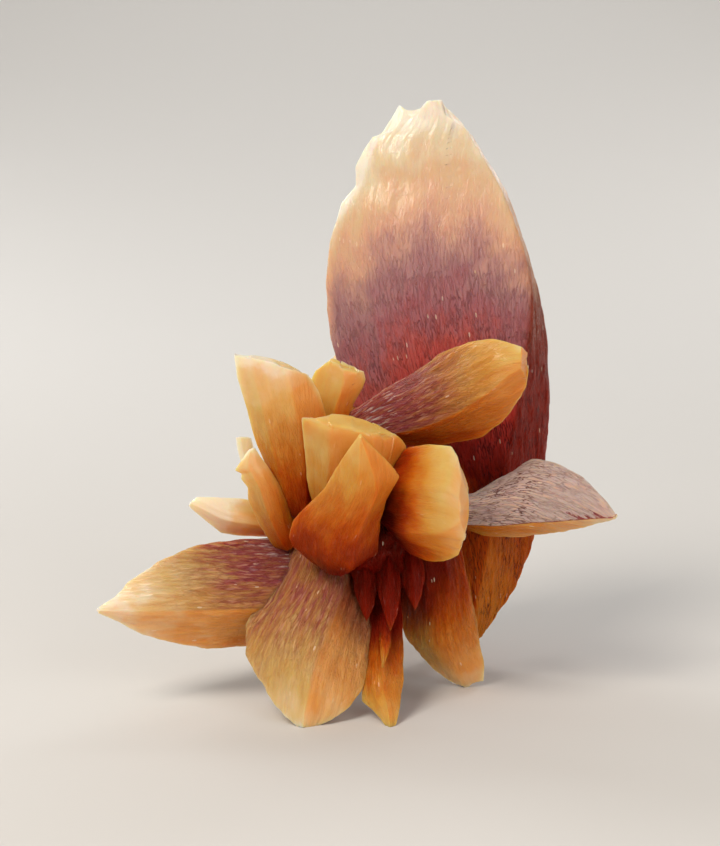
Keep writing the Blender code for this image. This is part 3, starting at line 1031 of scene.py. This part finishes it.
ROSETTE_GROWTH = Growth(
    "milky honey calcite, naturally grown",
    stops=(
        (0.10, "#4A0803"),
        (0.28, "#9A3206"),
        (0.42, "#BC5E0E"),
        (0.58, "#C88C34"),
        (0.78, "#CEAC62"),
        (0.92, "#D8BE8E"),
        (0.99, "#E0D4BC"),
    ),
    # Painted shade for the faces that look away from the light, orange with a painted glow of light
    # through them
    shaded_side_stops=(
        (0.15, "#7E1403"),
        (0.36, "#BC4404"),
        (0.56, "#DA6C0E"),
        (0.80, "#EA9038"),
        (0.99, "#E4BA84"),
    ),
    shaded_side_share=0.7,
    bow=0.0,
    # Painted glow: how much paler the thin edges are
    glow_margins=((0.05, 1.2), (0.05, 1.2)),
    streakiness=0.18,
    cloudiness=0.42,
    # The strokes' dark colour is partly painted shade in the grooves
    strokes=(0.30, 0.48, "#5A180A"),
    glow=0.004,
)

# What a crystal's own maps hold
MAPS = {
    "Grain": ("across", "along"),
    "Zone": ("place", "film"),
    # Clear is where the painted shade of the faces away from the light shows
    "Facing": ("clear", "coarse"),
    "Rims": ("from left rim", "from right rim"),
}

# Growth patterns in the colour: mm across the grain, how much longer along it, detail and roughness
STREAKS = (0.8, 5.0, 5.0, 0.62)
CLOUDS = (4.5, 1.0, 5.0, 0.5)
FINE_LINES = (0.28, 5.0, 4.0, 0.65)
HILLOCK_LENGTH = 5.0
HILLOCK_DETAIL = 2.0
HILLOCK_ROUGHNESS = 0.55

# The value that a noise runs about
NOISE_MIDDLE = 0.5

# The bow of the blade's bands: its middle from the left ridge, how far out it goes on, how sharply
BLADE_MIDDLE = 7.4
BOW_REACH = 13.0
BOW_POWER = 3.0

# The rosette's dark oxblood middle, deepened by painted shade in the crevices between crystals: in metres
# in the frame's place, and how far its colour reaches
HEART_SHADE_MIDDLE = (Vector((3.0, 0.0, 17.5)) + SPECIMEN_SHIFT) * MM
HEART_SHADE_FADE = {"From Min": 0.004, "From Max": 0.0098, "To Min": 0.9, "To Max": 0.0}
HEART_SHADE_FRAY = 0.004
OXBLOOD_AND_SHADE = "#720A03"

# The film, with its painted sheen, where it is thin, on most crystals, and where it is thick and silvery
FILM_AND_SHEEN_STOPS = ((0.25, "#B07C54"), (0.5, "#A25A48"), (0.82, "#923E48"), (0.99, "#CAB2AA"))
FILM_AND_SHEEN_COVER = 1.8
FILM_AND_SHEEN_OPENS = {"From Min": 0.38, "From Max": 0.62, "To Min": 1.0, "To Max": 0.5}

# Strokes lie where the hillocks' noise is this near its middle, and fade toward the tip and in patches
STROKE_EDGE = {"From Min": 0.01, "From Max": 0.055, "To Min": 1.0, "To Max": 0.0}
STROKE_FADE = {"From Min": 0.45, "From Max": 0.84, "To Max": 0.06}
STROKE_PATCHES = {"From Min": 0.42, "From Max": 0.60, "To Min": 0.25, "To Max": 1.0}
STROKES_UNDER_FILM_AND_SHEEN = 0.3

# Painted highlights on the crests of the growth ridges, and how much of their pale colour shows
CREST_HIGHLIGHTS = {"From Min": 0.57, "From Max": 0.64}
CREST_HIGHLIGHT_SHARE = 0.4
CREST_HIGHLIGHT_CODE = "#E2B894"

# Painted glints, small pale flecks on the hillocks: mm apart, their length, how many are left out, their
# size and strength
GLINT_FLECK_SPACING = 1.1
GLINT_FLECK_LENGTH = 1 / 0.35
GLINT_FLECKS_OUT = 0.6
GLINT_FLECK_SIZE = 0.12
GLINT_FLECK_SHARE = 0.5
GLINT_FLECK_CODE = "#FBEBD0"

# The relief in metres, what grooves and streaks add to its fine lines, and where it is at its full
RELIEF_HEIGHT = 0.00045
GROOVE_DEPTH = 0.7
STREAK_HEIGHT = 1.2
RELIEF_GROWS = {"From Min": 0.0, "From Max": 0.4}

# The shine is warm, because much of it comes back out of the honey under the skin
SHINE_CODE = "#FFC898"

# How rough the skin is, how much its fine lines glint, and how glassy it is toward the tip
SKIN = {"To Min": 0.25, "To Max": 0.6}
GLINTS = {"From Min": 0.56, "From Max": 0.64, "To Min": 0.0, "To Max": 0.8}
GLASSY = {"From Min": 0.35, "From Max": 0.80, "To Min": 0.0, "To Max": 0.55}


def spot_values(tree, growth):
    """Every value by name that a spot's colour follows: its crystal's maps, and the growth patterns."""
    spot = {}
    for name, held in MAPS.items():
        spot[name] = add(tree, "UVMap", {}, uv_map=name)
        values = add(tree, "SeparateXYZ", {"Vector": spot[name]})
        spot.update(zip(held, (values.outputs["X"], values.outputs["Y"])))
    hillocks = (growth.strokes[1], HILLOCK_LENGTH, HILLOCK_DETAIL, HILLOCK_ROUGHNESS)
    for name, (width, length, detail, roughness) in (
        ("streaks", STREAKS),
        ("clouds", CLOUDS),
        ("fine lines", FINE_LINES),
        ("hillocks", hillocks),
    ):
        drawn_out = add(tree, "Mapping", {"Vector": spot["Grain"], "Scale": (1.0, 1 / length, 1.0)})
        spot[name] = add(
            tree,
            "TexNoise",
            {"Vector": drawn_out, "Scale": 1 / width, "Detail": detail, "Roughness": roughness},
        )
    # Cells for the painted glints
    drawn_out = add(tree, "Mapping", {"Vector": spot["Grain"], "Scale": (1.0, 1 / GLINT_FLECK_LENGTH, 1.0)})
    glint_flecks = add(tree, "TexVoronoi", {"Vector": drawn_out, "Scale": 1 / GLINT_FLECK_SPACING})
    spot["from bruise"], spot["bruise chance"] = glint_flecks.outputs["Distance"], glint_flecks.outputs["Color"]
    return spot


def place_along(tree, growth, spot):
    """How far along its colours a spot is: its share of the length, shifted by bow, noise and rims, where
    a painted glow pales the edges.
    """
    aside = add(tree, "Math", {0: spot["across"], 1: BLADE_MIDDLE}, operation="SUBTRACT")
    aside = add(tree, "Math", {0: aside}, operation="ABSOLUTE")
    aside = add(tree, "Math", {0: aside, 1: BOW_REACH}, operation="MINIMUM")
    aside = add(tree, "Math", {0: aside, 1: BOW_POWER}, operation="POWER")
    place = add(tree, "Math", {0: aside, 1: growth.bow, 2: spot["place"]}, operation="MULTIPLY_ADD")
    streak = add(tree, "Math", {0: spot["streaks"], 1: NOISE_MIDDLE}, operation="SUBTRACT")
    streak = add(tree, "Math", {0: streak, 1: spot["coarse"]}, operation="MULTIPLY")
    cloud = add(tree, "Math", {0: spot["clouds"], 1: NOISE_MIDDLE}, operation="SUBTRACT")
    for shift, amount in ((streak, growth.streakiness), (cloud, growth.cloudiness)):
        place = add(tree, "Math", {0: shift, 1: amount, 2: place}, operation="MULTIPLY_ADD")
    # Painted glow: the edges are paler, as if light came through the thin rims
    left, right = (
        add(
            tree,
            "MapRange",
            {"Value": spot[rim], "From Min": 0.0, "From Max": reach, "To Min": glow_paleness, "To Max": 0.0},
            interpolation_type="SMOOTHSTEP",
        )
        for rim, (glow_paleness, reach) in zip(MAPS["Rims"], growth.glow_margins)
    )
    rim = add(tree, "Math", {0: left, 1: right}, operation="MAXIMUM")
    return add(tree, "Math", {0: place, 1: rim}, operation="ADD")


def body_colour(tree, growth, spot, place):
    """The colours from root to tip, with painted shade on the faces that look away from the light, and
    the oxblood with painted crevice shade round the heart.
    """
    body = add(tree, "ValToRGB", {"Fac": place}, stops=growth.stops)
    # Painted shade on the faces that look away from the light
    side = add(tree, "ValToRGB", {"Fac": place}, stops=growth.shaded_side_stops)
    shaded_side_weight = add(tree, "Math", {0: spot["clear"], 1: growth.shaded_side_share}, operation="MULTIPLY")
    body = add(tree, "Mix", {"Factor": shaded_side_weight, "A": body, "B": side}, data_type="RGBA")
    # Painted crevice shade deepens the colour toward the heart of the rosette
    room = add(tree, "TexCoord", {})
    away = add(tree, "VectorMath", {0: room.outputs["Object"], 1: HEART_SHADE_MIDDLE}, operation="DISTANCE")
    away = add(tree, "Math", {0: spot["streaks"], 1: -HEART_SHADE_FRAY, 2: away}, operation="MULTIPLY_ADD")
    crevice_shade = add(tree, "MapRange", {"Value": away, **HEART_SHADE_FADE}, interpolation_type="SMOOTHSTEP")
    return add(tree, "Mix", {"Factor": crevice_shade, "A": body, "B": colour(OXBLOOD_AND_SHADE)}, data_type="RGBA")


def mauve_film_and_sheen(tree, spot, body):
    """How thick the mauve film and its painted sheen are, broken by streaks of the honey under them, and
    the colour with them.
    """
    opening = add(tree, "MapRange", {"Value": spot["streaks"], **FILM_AND_SHEEN_OPENS})
    film = add(tree, "Math", {0: opening, 1: spot["film"]}, operation="MULTIPLY", use_clamp=True)
    veil_and_sheen = add(tree, "ValToRGB", {"Fac": film}, stops=FILM_AND_SHEEN_STOPS)
    cover = add(tree, "Math", {0: film, 1: FILM_AND_SHEEN_COVER}, operation="MULTIPLY", use_clamp=True)
    return film, add(tree, "Mix", {"Factor": cover, "A": body, "B": veil_and_sheen}, data_type="RGBA")


def hillock_strokes(tree, growth, spot, place):
    """The lines along the hillocks' edges, and how strongly they show, most so low and under the film
    with its painted sheen.
    """
    off_edge = add(tree, "Math", {0: spot["hillocks"], 1: NOISE_MIDDLE}, operation="SUBTRACT")
    off_edge = add(tree, "Math", {0: off_edge}, operation="ABSOLUTE")
    stroke = add(tree, "MapRange", {"Value": off_edge, **STROKE_EDGE})
    low = add(tree, "MapRange", {"Value": place, "To Min": growth.strokes[0], **STROKE_FADE})
    strength = add(
        tree,
        "Math",
        {0: spot["film"], 1: STROKES_UNDER_FILM_AND_SHEEN, 2: low},
        operation="MULTIPLY_ADD",
        use_clamp=True,
    )
    strength = add(tree, "Math", {0: strength, 1: spot["coarse"]}, operation="MULTIPLY")
    return stroke, strength


def marked(tree, growth, spot, film, stroke, strength, body):
    """The colour with dark strokes in patches, partly painted shade in their grooves, paler painted
    highlights on the crests beside them, and small painted glints.
    """
    # Dark strokes: partly the crystal's own growth lines, partly painted shade in their grooves
    dark = add(tree, "Math", {0: stroke, 1: strength}, operation="MULTIPLY")
    patches = add(tree, "MapRange", {"Value": spot["clouds"], **STROKE_PATCHES})
    dark = add(tree, "Math", {0: dark, 1: patches}, operation="MULTIPLY")

    # Painted highlights on the crests
    crest_highlight = add(tree, "MapRange", {"Value": spot["hillocks"], **CREST_HIGHLIGHTS})
    crest_highlight = add(tree, "Math", {0: crest_highlight, 1: film}, operation="MULTIPLY")
    crest_highlight = add(tree, "Math", {0: crest_highlight, 1: CREST_HIGHLIGHT_SHARE}, operation="MULTIPLY")

    # Painted glints: small pale flecks
    bruise = add(tree, "Math", {0: spot["bruise chance"], 1: GLINT_FLECKS_OUT}, operation="GREATER_THAN")
    small = add(tree, "Math", {0: spot["from bruise"], 1: GLINT_FLECK_SIZE}, operation="LESS_THAN")
    for factor in (small, spot["coarse"], GLINT_FLECK_SHARE):
        bruise = add(tree, "Math", {0: bruise, 1: factor}, operation="MULTIPLY")

    for mark, code in ((dark, growth.strokes[2]), (crest_highlight, CREST_HIGHLIGHT_CODE), (bruise, GLINT_FLECK_CODE)):
        body = add(tree, "Mix", {"Factor": mark, "A": body, "B": colour(code)}, data_type="RGBA")
    return body


def fine_relief(tree, spot, stroke, strength):
    """Striations and grooves too fine for the mesh, strongest where the strokes are."""
    height = spot["fine lines"]
    for pattern_value, tall in ((stroke, -GROOVE_DEPTH), (spot["streaks"], STREAK_HEIGHT)):
        height = add(tree, "Math", {0: pattern_value, 1: tall, 2: height}, operation="MULTIPLY_ADD")
    share = add(tree, "MapRange", {"Value": strength, **RELIEF_GROWS})
    height = add(tree, "Math", {0: height, 1: share}, operation="MULTIPLY")
    return add(tree, "Bump", {"Height": height, "Distance": RELIEF_HEIGHT, "Strength": 1.0})


def calcite(growth):
    """Translucent milky calcite, grown and unpolished: light spreads under its skin and its colour
    deepens toward the root, while its striations and hillocks catch the light as small glints.

    Calcite's refractive index runs from 1.49 to 1.66. Its fine growth lines break up most of the shine,
    so the skin has a low specular level, and the glints and the glassy tips are a coat on it. Its colour
    also carries painted light: small pale flecks as glints, pale crests as highlights, a sheen in the
    film on the faces toward the light, and shade on the faces away from it and in the crevices.
    """
    material = bpy.data.materials.new(growth.name)
    material.use_nodes = True
    tree = material.node_tree
    tree.nodes.clear()

    spot = spot_values(tree, growth)
    place = place_along(tree, growth, spot)
    body = body_colour(tree, growth, spot, place)
    film, body = mauve_film_and_sheen(tree, spot, body)
    stroke, strength = hillock_strokes(tree, growth, spot, place)
    body = marked(tree, growth, spot, film, stroke, strength, body)
    relief = fine_relief(tree, spot, stroke, strength)
    skin = add(tree, "MapRange", {"Value": spot["fine lines"], **SKIN})
    glints = add(tree, "MapRange", {"Value": spot["fine lines"], **GLINTS})
    glassy = add(tree, "MapRange", {"Value": place, **GLASSY})
    surface = add(
        tree,
        "BsdfPrincipled",
        {
            "Base Color": body,
            "Roughness": skin,
            "IOR": 1.6,
            "Specular IOR Level": 0.12,
            "Specular Tint": colour(SHINE_CODE),
            "Coat Weight": add(tree, "Math", {0: glassy, 1: glints}, operation="MAXIMUM"),
            "Coat Roughness": 0.12,
            "Coat Normal": relief,
            "Subsurface Weight": 0.75,
            "Subsurface Radius": (1.0, 0.5, 0.25),
            "Subsurface Scale": growth.glow,
            "Normal": relief,
        },
    )
    add(tree, "OutputMaterial", {"Surface": surface})
    return material


def paper(name, code, roughness):
    """Matt paper, which only holds the light and the shadow."""
    material = bpy.data.materials.new(name)
    material.use_nodes = True
    surface = material.node_tree.nodes["Principled BSDF"]
    surface.inputs["Base Color"].default_value = colour(code)
    surface.inputs["Roughness"].default_value = roughness
    return material


# The floor in metres: its radius, how high its wall goes, and the curve between floor and wall
FLOOR_RADIUS = 1.3
WALL_HEIGHT = 1.1
SWEEP_RADIUS = 0.95
SWEEP_STEPS = 20
FLOOR_SIDES = 96

# Only the corner between floor and wall turns more than this many degrees
SWEEP_TURN = 60


def stage():
    """A pale round floor that curves up into a wall all around, open at the top."""
    deselect()
    bpy.ops.mesh.primitive_cylinder_add(
        vertices=FLOOR_SIDES, radius=FLOOR_RADIUS, depth=WALL_HEIGHT, location=(0, 0, WALL_HEIGHT / 2)
    )
    floor = bpy.context.object
    floor.name = "floor_sweep"
    bpy.ops.object.transform_apply(location=True, rotation=False, scale=False)
    bpy.ops.object.mode_set(mode="EDIT")
    select_top(floor, WALL_HEIGHT)
    bpy.ops.mesh.delete(type="FACE")
    bpy.ops.mesh.select_all(action="SELECT")
    bpy.ops.mesh.flip_normals()
    bpy.ops.object.mode_set(mode="OBJECT")
    turn = math.radians(SWEEP_TURN)
    apply(floor, "BEVEL", width=SWEEP_RADIUS, segments=SWEEP_STEPS, angle_limit=turn)
    floor.data.materials.append(paper("pale studio paper", "#CFCDCA", 0.8))
    bpy.ops.object.shade_smooth()


# The lamps in metres: place, aim, width and height, power in watts, and colour
SPECIMEN_MIDDLE = (0.0, 0.0, 0.045)
LAMPS = (
    ("key", (-0.28, -0.38, 0.52), SPECIMEN_MIDDLE, (0.26, 0.26), 3.4, "#FFF6EA"),
    ("back left", (-0.40, 0.40, 0.30), SPECIMEN_MIDDLE, (0.25, 0.35), 1.5, "#FFFFFF"),
    ("back right", (0.35, 0.50, 0.35), SPECIMEN_MIDDLE, (0.2, 0.35), 0.8, "#FFFFFF"),
    ("floor wash", (0.0, 0.75, 0.75), (0.0, 1.1, 0.0), (0.8, 0.4), 2.2, "#FFFFFF"),
    ("fill", (0.35, -0.55, 0.28), SPECIMEN_MIDDLE, (0.4, 0.3), 1.2, "#FFFFFF"),
)
ROOM_CODE = "#EDE9E4"
ROOM_STRENGTH = 0.42


def lights():
    """Soft lamps round the specimen, in an evenly lit room."""
    for name, place, aim, size, power, code in LAMPS:
        data = bpy.data.lights.new(name, "AREA")
        data.shape = "RECTANGLE"
        data.size, data.size_y = size
        data.energy = power
        data.color = colour(code)[:3]
        lamp = bpy.data.objects.new(name, data)
        lamp.location = place
        lamp.rotation_euler = (Vector(aim) - Vector(place)).to_track_quat("-Z", "Y").to_euler()
        bpy.context.scene.collection.objects.link(lamp)
    room = bpy.data.worlds.new("studio")
    room.use_nodes = True
    room.node_tree.nodes["Background"].inputs["Color"].default_value = colour(ROOM_CODE)
    room.node_tree.nodes["Background"].inputs["Strength"].default_value = ROOM_STRENGTH
    bpy.context.scene.world = room


# The camera looks down by this many degrees, at a point in the specimen's own place, in mm
CAMERA_DOWN = 10.0
CAMERA_AIM = Vector((0.0, 8.0, 40.8))
CAMERA_AWAY = 352.0
CAMERA_LENS = 100
CAMERA_NEAREST = 10.0


def camera():
    """The photograph's own view, through a long lens."""
    data = bpy.data.cameras.new("camera")
    data.lens = CAMERA_LENS
    data.clip_start = CAMERA_NEAREST * MM
    eye = bpy.data.objects.new("camera", data)
    down = math.radians(CAMERA_DOWN)
    ahead = Vector((0.0, math.cos(down), -math.sin(down)))
    eye.location = (CAMERA_AIM + SPECIMEN_SHIFT - ahead * CAMERA_AWAY) * MM
    eye.rotation_euler = (math.pi / 2 - down, 0, 0)
    bpy.context.scene.collection.objects.link(eye)
    bpy.context.scene.camera = eye


def main():
    banded = calcite(BLADE_GROWTH)
    honey = calcite(ROSETTE_GROWTH)
    grow(TALL_BLADE, banded)
    for crystal in ROSETTE:
        grow(crystal, honey)
    heart(honey)
    stage()
    lights()
    camera()
    bpy.context.scene.view_settings.view_transform = "Standard"


main()
